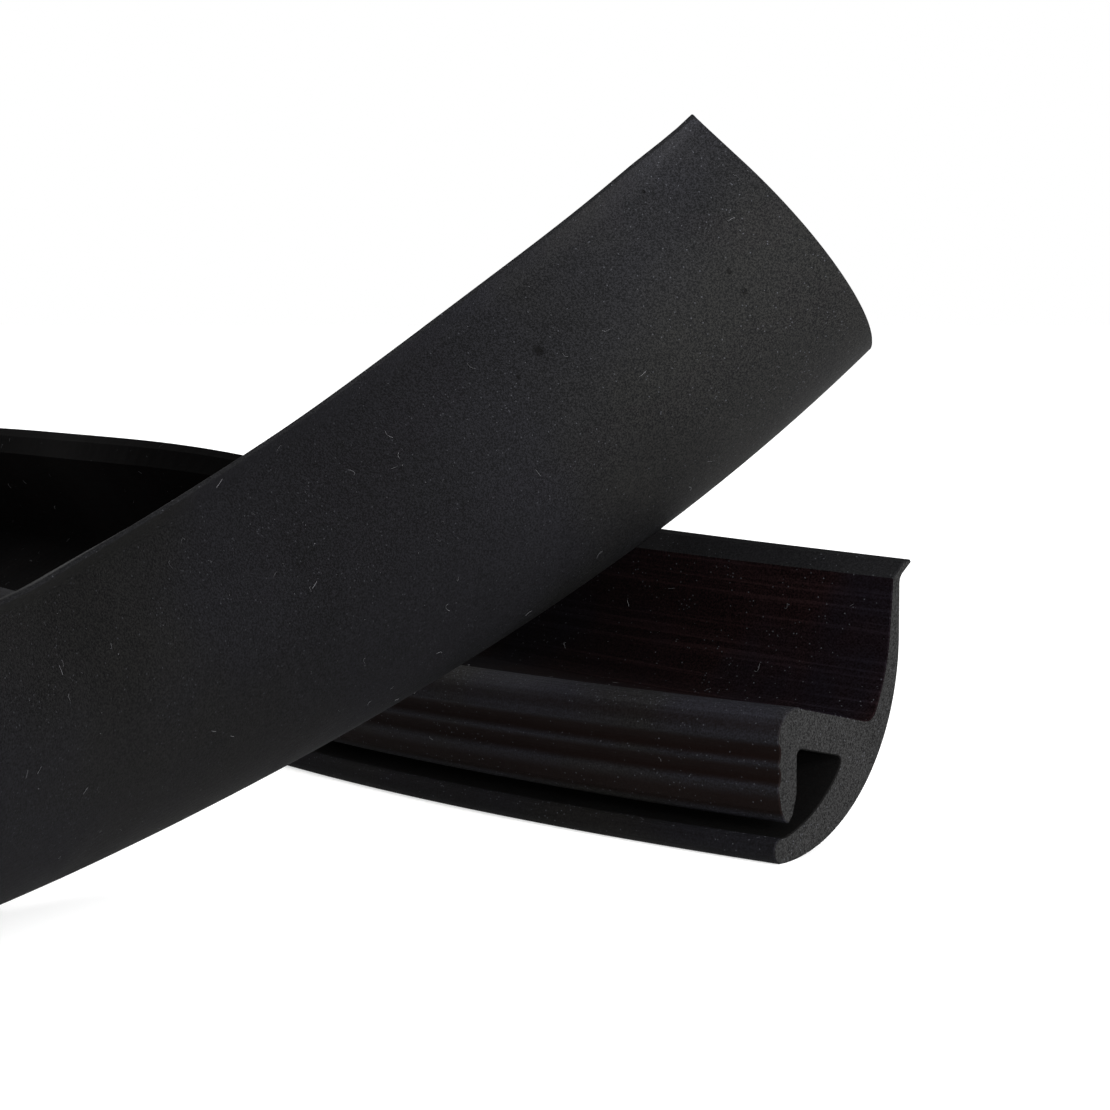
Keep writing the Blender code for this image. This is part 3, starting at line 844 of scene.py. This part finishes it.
@dataclass
class TrimStrip:
    """The rubber strip itself: the section swept along its path, with flat cut ends."""

    section: TrimSection = field(default_factory=TrimSection)
    path: LaidPath = field(default_factory=LaidPath)
    stations: int = 600
    nick: float = 0.00010
    lip_settle: float = 0.012
    weld: float = 0.000004
    sharp_angle: float = 32.0

    def station_mesh(self) -> bpy.types.Mesh:
        """Makes one vertex for each station, which carries the section's directions there."""
        inside = np.linspace(self.nick, self.path.length - self.nick, self.stations - 2)
        distance = np.concatenate([[0.0], inside, [self.path.length]])
        place, out, up = self.path.frames(distance, self.section)
        inset = np.zeros(self.stations)
        inset[[0, -1]] = self.nick
        near = np.clip(1.0 - (self.path.length - distance) / self.lip_settle, 0.0, 1.0)
        mesh = bpy.data.meshes.new("stations")
        mesh.from_pydata(place.tolist(), [], [])
        self._attach(mesh, "out", "FLOAT_VECTOR", "vector", out)
        self._attach(mesh, "up", "FLOAT_VECTOR", "vector", up)
        self._attach(mesh, "along", "FLOAT", "value", distance)
        self._attach(mesh, "inset", "FLOAT", "value", inset)
        self._attach(mesh, "settled", "FLOAT", "value", near**2 * (3.0 - 2.0 * near))
        return mesh

    def section_mesh(self) -> bpy.types.Mesh:
        """Makes the section as one flat face, whose points carry their finish and the ways they shift."""
        points, faces = self.section.outline()
        level = np.zeros(len(points))
        inward = np.column_stack([self.section.inward(points), level])
        settle = np.minimum(points[:, 0], self.section.cap_radius) - points[:, 0]
        mesh = bpy.data.meshes.new("section")
        mesh.from_pydata(np.column_stack([points, level]).tolist(), [], [list(range(len(points)))])
        self._attach(mesh, "inward", "FLOAT_VECTOR", "vector", inward)
        self._attach(mesh, "settle", "FLOAT_VECTOR", "vector", np.column_stack([settle, level, level]))
        self._attach(mesh, "finish", "INT", "value", faces)
        return mesh

    def _attach(self, mesh: bpy.types.Mesh, name: str, kind: str, slot: str, values: np.ndarray) -> None:
        """Stores one value for each vertex under a name."""
        attribute = mesh.attributes.new(name, kind, "POINT")
        attribute.data.foreach_set(slot, values.ravel())

    def sweep_tree(self) -> bpy.types.NodeTree:
        """Draws the tree that carries the section from station to station and closes both ends."""
        inputs = {
            "Stations": ("NodeSocketGeometry", None),
            "Section": ("NodeSocketObject", None),
            "Station Count": ("NodeSocketInt", 100),
            "Section Points": ("NodeSocketInt", 60),
            "Weld": ("NodeSocketFloat", self.weld),
            "Sharp Angle": ("NodeSocketFloat", math.radians(self.sharp_angle)),
        }
        inputs |= {face.name.title(): ("NodeSocketMaterial", None) for face in Face}
        sheet, given, result = new_group("sweep_section", "GeometryNodeTree", inputs,
                                         {"Strip": "NodeSocketGeometry"})
        stations = given.outputs["Stations"]
        count = given.outputs["Station Count"]
        around = given.outputs["Section Points"]
        guide = sheet.add("GeometryNodeObjectInfo", {"Object": given.outputs["Section"]})
        section = guide.outputs["Geometry"]
        index = sheet.add("GeometryNodeInputIndex").outputs[0]
        columns = self._whole(sheet, "ADD", around, 1)
        grid = sheet.add("GeometryNodeMeshGrid", {
            "Vertices X": count, "Vertices Y": columns}).outputs["Mesh"]
        row = self._whole(sheet, "DIVIDE_FLOOR", index, columns)
        column = self._whole(sheet, "MODULO", self._whole(sheet, "MODULO", index, columns), around)
        drawn = sheet.add("GeometryNodeInputPosition").outputs[0]
        shifts = [self._named(sheet, name, "FLOAT_VECTOR") for name in ("inward", "settle")]
        flat, inward, settle = (self._pick(sheet, section, value, column, "FLOAT_VECTOR")
                                for value in (drawn, *shifts))
        sides = self._carry(sheet, grid, stations, row, flat, inward, settle)
        face_finish = self._pick(sheet, section, self._named(sheet, "finish", "INT"),
                                 self._whole(sheet, "MODULO", index, around), "INT")
        sides = sheet.add("GeometryNodeStoreNamedAttribute", {
            "Geometry": sides, "Name": "finish", "Value": face_finish},
            data_type="INT", domain="FACE").outputs[0]
        ends = []
        last_row = self._whole(sheet, "SUBTRACT", count, 1)
        for end_row, turned in ((0, True), (last_row, False)):
            cap = self._carry(sheet, section, stations, end_row, drawn, *shifts)
            cap = sheet.add("GeometryNodeStoreNamedAttribute", {
                "Geometry": cap, "Name": "finish", "Value": int(Face.CUT)},
                data_type="INT", domain="FACE").outputs[0]
            if turned:
                cap = sheet.add("GeometryNodeFlipFaces", {"Mesh": cap}).outputs[0]
            ends.append(cap)
        joined = sheet.add("GeometryNodeJoinGeometry")
        for part in (sides, *ends):
            sheet.feed(joined.inputs[0], part)
        shell = sheet.add("GeometryNodeMergeByDistance", {
            "Geometry": joined.outputs[0], "Distance": given.outputs["Weld"]}).outputs[0]
        angle = sheet.add("GeometryNodeInputMeshEdgeAngle").outputs[0]
        sharp = sheet.add("FunctionNodeCompare", {0: angle, 1: given.outputs["Sharp Angle"]},
                          data_type="FLOAT", operation="GREATER_THAN").outputs[0]
        shell = sheet.add("GeometryNodeSetShadeSmooth", {
            "Geometry": shell, "Selection": sharp, "Shade Smooth": False}, domain="EDGE").outputs[0]
        shell = sheet.add("GeometryNodeRealizeInstances", {"Geometry": shell}).outputs[0]
        for face in Face:
            chosen = sheet.add("FunctionNodeCompare", {2: self._named(sheet, "finish", "INT"), 3: int(face)},
                               data_type="INT", operation="EQUAL").outputs[0]
            material = given.outputs[face.name.title()]
            shell = sheet.add("GeometryNodeSetMaterial", {
                "Geometry": shell, "Selection": chosen, "Material": material}).outputs[0]
        sheet.feed(result.inputs["Strip"], shell)
        return sheet.tree

    def _whole(self, sheet: NodeSheet, operation: str, a: Any, b: Any) -> bpy.types.NodeSocket:
        """Returns the result of a sum on whole numbers."""
        return sheet.add("FunctionNodeIntegerMath", {0: a, 1: b}, operation=operation).outputs[0]

    def _named(self, sheet: NodeSheet, name: str, kind: str) -> bpy.types.NodeSocket:
        """Returns the values stored under a name."""
        return sheet.add("GeometryNodeInputNamedAttribute", {"Name": name}, data_type=kind).outputs[0]

    def _pick(self, sheet: NodeSheet, source: Any, value: Any, index: Any, kind: str) -> bpy.types.NodeSocket:
        """Returns a value of another shape's point, by its number."""
        return sheet.add("GeometryNodeSampleIndex", {"Geometry": source, "Value": value, "Index": index},
                         data_type=kind, domain="POINT").outputs[0]

    def _carry(self, sheet: NodeSheet, shape: Any, stations: Any, row: Any, flat: Any, inward: Any,
               settle: Any) -> bpy.types.NodeSocket:
        """Moves drawn points to their station and stores their place on the straight strip.

        Args:
            sheet: The tree's sheet.
            shape: The geometry whose points move.
            stations: The stations' geometry.
            row: The number of each point's station.
            flat: Each point's place in the section.
            inward: The way into the rubber there.
            settle: How the point shifts where the lip stands flat.

        Returns:
            The moved geometry.
        """
        position = sheet.add("GeometryNodeInputPosition").outputs[0]
        place = self._pick(sheet, stations, position, row, "FLOAT_VECTOR")
        out, up = (self._pick(sheet, stations, self._named(sheet, name, "FLOAT_VECTOR"), row, "FLOAT_VECTOR")
                   for name in ("out", "up"))
        along, inset, settled = (self._pick(sheet, stations, self._named(sheet, name, "FLOAT"), row, "FLOAT")
                                 for name in ("along", "inset", "settled"))
        shifted = sheet.vector_math("ADD", flat, sheet.scaled(settle, settled))
        nicked = sheet.vector_math("ADD", shifted, sheet.scaled(inward, inset))
        parts = sheet.add("ShaderNodeSeparateXYZ", {0: nicked})
        sideways = sheet.scaled(out, parts.outputs[0])
        upwards = sheet.scaled(up, parts.outputs[1])
        target = sheet.vector_math("ADD", place, sheet.vector_math("ADD", sideways, upwards))
        straight = sheet.add("ShaderNodeCombineXYZ", {0: parts.outputs[0], 1: parts.outputs[1], 2: along})
        shape = sheet.add("GeometryNodeStoreNamedAttribute", {
            "Geometry": shape, "Name": "strip_place", "Value": straight.outputs[0]},
            data_type="FLOAT_VECTOR", domain="POINT").outputs[0]
        return sheet.add("GeometryNodeSetPosition", {"Geometry": shape, "Position": target}).outputs[0]

    def build(self, finishes: Mapping[Face, bpy.types.Material]) -> bpy.types.Object:
        """Sweeps the strip.

        Args:
            finishes: The material of each stretch.

        Returns:
            The strip as a plain mesh.
        """
        section = object_of("section_guide", self.section_mesh())
        strip = object_of("rubber_strip", self.station_mesh())
        modifier = strip.modifiers.new("sweep", "NODES")
        modifier.node_group = self.sweep_tree()
        values: dict[str, Any] = {
            "Section": section,
            "Station Count": self.stations,
            "Section Points": len(section.data.vertices),
            "Weld": self.weld,
            "Sharp Angle": math.radians(self.sharp_angle),
        }
        values |= {face.name.title(): finishes[face] for face in Face}
        set_inputs(modifier, values)
        plain_mesh(strip)
        bpy.data.objects.remove(section)
        return strip


@dataclass(frozen=True)
class LintFinish:
    """Pale lint or dust, rough and slightly uneven in tone."""

    name: str
    dark: Colour
    light: Colour
    roughness: float = 0.9
    gloss: float = 0.1
    tones: float = 400.0

    def make(self) -> bpy.types.Material:
        """Builds the material."""
        material = bpy.data.materials.new(self.name)
        material.use_nodes = True
        sheet = NodeSheet(material.node_tree)
        shader = material.node_tree.nodes["Principled BSDF"]
        shader.inputs["Roughness"].default_value = self.roughness
        shader.inputs["Specular IOR Level"].default_value = self.gloss
        vector = sheet.add("ShaderNodeTexCoord").outputs["Object"]
        tone = sheet.ramp(sheet.noise(vector, self.tones, 2.0), 0.3, 0.7)
        sheet.feed(shader.inputs["Base Color"], sheet.mix(tone, self.dark, self.light))
        return material


@dataclass
class Lint:
    """Loose matter that clings to the rubber, short of the box round the strip: fibres or small specks."""

    name: str
    per_square_metre: float
    seed: int
    smallest: float
    largest: float
    shape: Callable[[NodeSheet], bpy.types.NodeSocket]
    box_gap: float = 0.002

    def scatter_tree(self) -> bpy.types.NodeTree:
        """Draws the tree that sets one small shape on each of many random places of a surface."""
        inputs = {
            "Surface": ("NodeSocketGeometry", None),
            "Strip": ("NodeSocketObject", None),
            "Per Square Metre": ("NodeSocketFloat", self.per_square_metre),
            "Smallest": ("NodeSocketFloat", self.smallest),
            "Largest": ("NodeSocketFloat", self.largest),
            "Seed": ("NodeSocketInt", self.seed),
            "Box Gap": ("NodeSocketFloat", self.box_gap),
            "Matter": ("NodeSocketMaterial", None),
        }
        sheet, given, result = new_group(f"scatter_{self.name}", "GeometryNodeTree", inputs,
                                         {"Pieces": "NodeSocketGeometry"})
        strip = sheet.add("GeometryNodeObjectInfo", {"Object": given.outputs["Strip"]}).outputs["Geometry"]
        finish = sheet.add("GeometryNodeInputNamedAttribute", {"Name": "finish"}, data_type="INT").outputs[0]
        open_side = sheet.add("FunctionNodeCompare", {2: finish, 3: int(Face.CHANNEL)},
                              data_type="INT", operation="LESS_THAN").outputs[0]
        box = sheet.add("GeometryNodeBoundBox", {"Geometry": strip})
        position = sheet.add("GeometryNodeInputPosition").outputs[0]
        gap = given.outputs["Box Gap"]
        low = sheet.vector_math("ADD", box.outputs["Min"], gap)
        high = sheet.vector_math("SUBTRACT", box.outputs["Max"], gap)
        chosen = open_side
        for operation, limit in (("GREATER_THAN", low), ("LESS_THAN", high)):
            within = sheet.add("FunctionNodeCompare", {4: position, 5: limit}, data_type="VECTOR",
                               mode="ELEMENT", operation=operation).outputs[0]
            chosen = sheet.add("FunctionNodeBooleanMath", {0: chosen, 1: within}).outputs[0]
        spread = sheet.add("GeometryNodeDistributePointsOnFaces", {
            "Mesh": strip, "Selection": chosen,
            "Density": given.outputs["Per Square Metre"], "Seed": given.outputs["Seed"]})
        turn = sheet.add("FunctionNodeRandomValue", {3: math.tau, "Seed": given.outputs["Seed"]},
                         data_type="FLOAT").outputs[1]
        spin = sheet.add("FunctionNodeAxisAngleToRotation", {
            "Axis": (0.0, 0.0, 1.0), "Angle": turn}).outputs[0]
        lie = sheet.add("FunctionNodeRotateRotation", {
            "Rotation": spread.outputs["Rotation"], "Rotate By": spin}, rotation_space="LOCAL").outputs[0]
        size = sheet.add("FunctionNodeRandomValue", {
            2: given.outputs["Smallest"], 3: given.outputs["Largest"],
            "Seed": self._next(sheet, given.outputs["Seed"])}, data_type="FLOAT").outputs[1]
        placed = sheet.add("GeometryNodeInstanceOnPoints", {
            "Points": spread.outputs["Points"], "Instance": self.shape(sheet), "Rotation": lie,
            "Scale": size, "Pick Instance": True}).outputs[0]
        real = sheet.add("GeometryNodeRealizeInstances", {"Geometry": placed}).outputs[0]
        dressed = sheet.add("GeometryNodeSetMaterial", {
            "Geometry": real, "Material": given.outputs["Matter"]}).outputs[0]
        sheet.feed(result.inputs["Pieces"], dressed)
        return sheet.tree

    def _next(self, sheet: NodeSheet, seed: bpy.types.NodeSocket) -> bpy.types.NodeSocket:
        """Returns the seed after this one."""
        return sheet.add("FunctionNodeIntegerMath", {0: seed, 1: 1}, operation="ADD").outputs[0]

    def build(self, strip: bpy.types.Object, matter: bpy.types.Material) -> bpy.types.Object:
        """Scatters the matter over the strip.

        Args:
            strip: The finished strip.
            matter: The material of the matter.

        Returns:
            The matter as one plain mesh.
        """
        piece = object_of(self.name, bpy.data.meshes.new(self.name))
        modifier = piece.modifiers.new("scatter", "NODES")
        modifier.node_group = self.scatter_tree()
        set_inputs(modifier, {
            "Strip": strip,
            "Per Square Metre": self.per_square_metre,
            "Smallest": self.smallest,
            "Largest": self.largest,
            "Seed": self.seed,
            "Box Gap": self.box_gap,
            "Matter": matter,
        })
        return plain_mesh(piece)


def fibre_shapes(sheet: NodeSheet) -> bpy.types.NodeSocket:
    """Draws three fibres of length one: nearly straight, bowed and hooked.

    Args:
        sheet: The sheet of the tree that scatters them.

    Returns:
        The fibres as instances to pick from.
    """
    width = 0.028
    lift = 0.03
    middles = ((0.0, 0.06, lift), (0.05, 0.42, 3 * lift), (0.55, 0.75, 2 * lift))
    wire = sheet.add("GeometryNodeCurvePrimitiveCircle", {"Resolution": 3, "Radius": width})
    choice = sheet.add("GeometryNodeGeometryToInstance")
    for middle in middles:
        bow = sheet.add("GeometryNodeCurveQuadraticBezier", {
            "Resolution": 6, "Start": (-0.5, 0.0, lift), "Middle": middle, "End": (0.5, 0.0, lift)})
        thread = sheet.add("GeometryNodeCurveToMesh", {
            "Curve": bow.outputs[0], "Profile Curve": wire.outputs[0], "Fill Caps": True})
        sheet.feed(choice.inputs[0], thread.outputs[0])
    return choice.outputs[0]


def speck_shapes(sheet: NodeSheet) -> bpy.types.NodeSocket:
    """Draws two specks of size one, a grain and a flake, as instances to pick from."""
    choice = sheet.add("GeometryNodeGeometryToInstance")
    for stretch in ((0.50, 0.40, 0.22), (0.65, 0.28, 0.10)):
        ball = sheet.add("GeometryNodeMeshIcoSphere", {"Radius": 1.0, "Subdivisions": 1})
        flat = sheet.add("GeometryNodeTransform", {"Geometry": ball.outputs[0], "Scale": stretch})
        sheet.feed(choice.inputs[0], flat.outputs[0])
    return choice.outputs[0]


@dataclass(frozen=True)
class SoftLight:
    """One broad studio light."""

    name: str
    place: tuple[float, float, float]
    aim: tuple[float, float, float]
    width: float
    height: float
    power: float
    colour: tuple[float, float, float] = (1.0, 1.0, 1.0)

    def build(self) -> bpy.types.Object:
        """Sets the light up."""
        data = bpy.data.lights.new(self.name, "AREA")
        data.shape = "RECTANGLE"
        data.size = self.width
        data.size_y = self.height
        data.energy = self.power
        data.color = self.colour
        lamp = bpy.data.objects.new(self.name, data)
        lamp.location = self.place
        lamp.rotation_euler = (Vector(self.aim) - Vector(self.place)).to_track_quat("-Z", "Y").to_euler()
        bpy.context.scene.collection.objects.link(lamp)
        return lamp


@dataclass
class Studio:
    """The pale floor, the sky round it, the soft lights and the camera."""

    floor_reach: float = 30.0
    floor_colour: Colour = (0.60, 0.60, 0.60, 1.0)
    floor_mottle: float = 3.0
    floor_shade: float = 0.985
    floor_light: Colour = (1.0, 1.0, 1.0, 1.0)
    floor_glow: float = 0.55
    seen_sky: float = 1.0
    lighting_sky: float = 0.30
    sun_energy: float = 2.2
    sun_spread: float = 90.0
    sun_tilt: tuple[float, float, float] = (25.0, 5.0, 0.0)
    camera_place: tuple[float, float, float] = (0.229901, -0.255567, 0.046230)
    camera_tilt: float = 5.084
    camera_lens: float = 84.96
    camera_sensor: float = 36.0
    lights: tuple[SoftLight, ...] = (
        SoftLight("right_light", (0.52, -0.42, 0.12), (0.27, 0.00, 0.06), 0.30, 0.30, 6.5),
        SoftLight("back_light", (-0.45, 0.80, 0.60), (-0.05, 0.05, 0.0), 0.50, 0.50, 7.0),
    )

    def build_floor(self) -> bpy.types.Object:
        """Lays the floor, which reaches past what the camera sees."""
        mesh = bpy.data.meshes.new("studio_floor")
        reach = self.floor_reach
        corners = [(-reach, -reach, 0.0), (reach, -reach, 0.0), (reach, reach, 0.0), (-reach, reach, 0.0)]
        mesh.from_pydata(corners, [], [(0, 1, 2, 3)])
        material = bpy.data.materials.new("pale_floor")
        material.use_nodes = True
        sheet = NodeSheet(material.node_tree)
        shader = material.node_tree.nodes["Principled BSDF"]
        shader.inputs["Roughness"].default_value = 1.0
        shader.inputs["Specular IOR Level"].default_value = 0.0
        vector = sheet.add("ShaderNodeTexCoord").outputs["Object"]
        tone = sheet.noise(vector, self.floor_mottle, 2.0)
        shader.inputs["Emission Color"].default_value = self.floor_light
        shader.inputs["Emission Strength"].default_value = self.floor_glow
        shade = tuple(self.floor_shade * c for c in self.floor_colour[:3]) + (1.0,)
        sheet.feed(shader.inputs["Base Color"], sheet.mix(tone, shade, self.floor_colour))
        mesh.materials.append(material)
        floor = object_of("studio_floor", mesh)
        return floor

    def build_sky(self) -> None:
        """Fills the surroundings with soft white light."""
        world = bpy.data.worlds.new("studio_surroundings")
        world.use_nodes = True
        sheet = NodeSheet(world.node_tree)
        background = world.node_tree.nodes["Background"]
        seen = sheet.add("ShaderNodeLightPath").outputs["Is Camera Ray"]
        strength = sheet.ramp(seen, 0.0, 1.0, (self.lighting_sky, self.seen_sky))
        sheet.feed(background.inputs["Strength"], strength)
        background.inputs["Color"].default_value = (1.0, 1.0, 1.0, 1.0)
        bpy.context.scene.world = world
        bpy.context.scene.view_settings.view_transform = "Standard"

    def build_sun(self) -> bpy.types.Object:
        """Hangs the broad overhead light, which also keeps the floor white out to the horizon."""
        data = bpy.data.lights.new("overhead_light", "SUN")
        data.energy = self.sun_energy
        data.angle = math.radians(self.sun_spread)
        lamp = bpy.data.objects.new("overhead_light", data)
        lamp.rotation_euler = tuple(math.radians(a) for a in self.sun_tilt)
        bpy.context.scene.collection.objects.link(lamp)
        return lamp

    def build_camera(self) -> bpy.types.Object:
        """Sets the camera at the photograph's place."""
        data = bpy.data.cameras.new("photo_camera")
        data.lens = self.camera_lens
        data.sensor_width = self.camera_sensor
        data.clip_start = 0.01
        data.clip_end = 4 * self.floor_reach
        camera = bpy.data.objects.new("photo_camera", data)
        camera.location = self.camera_place
        camera.rotation_euler = (math.radians(90.0 - self.camera_tilt), 0.0, 0.0)
        bpy.context.scene.collection.objects.link(camera)
        bpy.context.scene.camera = camera
        return camera

    def build(self) -> None:
        """Sets up the whole studio."""
        self.build_floor()
        self.build_sky()
        self.build_sun()
        self.build_camera()
        for light in self.lights:
            light.build()


DENTS = (
    Dent(0.0180, 0.0170, 1.4665, 0.00085, 0.00010),
    Dent(0.0179, 0.0162, 1.4625, 0.00035, 0.00006),
    Dent(0.0180, 0.0224, 1.4890, 0.00030, 0.00005),
    Dent(0.0168, 0.0117, 1.4900, 0.00040, 0.00006),
    Dent(0.0159, 0.0095, 1.4900, 0.00045, 0.00007),
)

# The outer face, lip, inner face and leg carry painted shade behind the ends.
FINISHES: dict[Face, RubberFinish] = {
    # The outer face's finish also paints light in the hollow under the lip.
    Face.OUTER: RubberFinish("outer_rubber", (0.0024, 0.0025, 0.0028, 1.0), (0.0158, 0.0158, 0.0188, 1.0),
                             patch_light=(0.0168, 0.0166, 0.0158, 1.0), painted_shade=0.60, painted_shade_reach=(0.000, 0.065),
                             lip_painted_light=0.20, dents=DENTS),
    Face.LIP: RubberFinish("lip_rubber", (0.0030, 0.0030, 0.0033, 1.0), (0.0105, 0.0105, 0.0113, 1.0),
                           gloss=0.02, painted_shade=0.96, painted_shade_reach=(0.000, 0.060), front_spare=0.11),
    Face.INNER: RubberFinish("inner_rubber", (0.0011, 0.0005, 0.0006, 1.0), (0.0096, 0.0048, 0.0051, 1.0),
                             patch_light=(0.0052, 0.0043, 0.0062, 1.0), patches=60.0, gloss=0.01,
                             line_height=0.00004, line_tint=0.4, grain_tint=0.5, painted_shade=0.96,
                             painted_shade_reach=(0.000, 0.070)),
    # The leg's finish also paints light on upward faces and shade in its flutes.
    Face.LEG: RubberFinish("leg_rubber", (0.0028, 0.0026, 0.0027, 1.0), (0.0140, 0.0140, 0.0180, 1.0),
                           patch_light=(0.0145, 0.0140, 0.0128, 1.0), patches=45.0, line_height=0.00003,
                           line_tint=0.12, settled_dust=0.4, top_painted_light=0.20, painted_shade=0.35,
                           groove_shade=(0.0028, 0.0012, 0.0009, 1.0)),
    # The channel's colours are painted shade: far darker than the rest of the rubber.
    Face.CHANNEL: RubberFinish("channel_rubber", (0.0012, 0.0012, 0.0012, 1.0), (0.0032, 0.0030, 0.0029, 1.0),
                               dust_cover=0.0),
    Face.CUT: RubberFinish("cut_rubber", (0.0030, 0.0030, 0.0030, 1.0), (0.0190, 0.0190, 0.0190, 1.0),
                           grain_tint=0.8, pore=0.00005),
}

LINT_FINISH = LintFinish("pale_lint", (0.030, 0.030, 0.032, 1.0), (0.095, 0.095, 0.100, 1.0))
DUST_FINISH = LintFinish("pale_dust", (0.025, 0.025, 0.027, 1.0), (0.090, 0.090, 0.096, 1.0))
LINT = Lint("lint_fibres", 14000.0, 11, 0.0002, 0.0009, fibre_shapes)
DUST = Lint("dust_specks", 45000.0, 27, 0.00004, 0.00010, speck_shapes)


def triangles(piece: bpy.types.Object) -> int:
    """Counts the triangles of a piece's mesh."""
    piece.data.calc_loop_triangles()
    return len(piece.data.loop_triangles)


def main() -> None:
    """Loads the frame, builds the strip, its lint and the studio."""
    logging.basicConfig(level=logging.INFO, format="%(name)s: %(message)s")
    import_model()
    effects = SurfaceEffects()
    strip = TrimStrip().build({face: finish.make(effects) for face, finish in FINISHES.items()})
    lint = LINT.build(strip, LINT_FINISH.make())
    dust = DUST.build(strip, DUST_FINISH.make())
    for piece in (strip, lint, dust):
        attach(piece, "root")
        LOG.info("%s: %d triangles", piece.name, triangles(piece))
    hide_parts("trim_strip")
    Studio().build()
    bpy.context.view_layer.update()


if __name__ == "__main__":
    main()
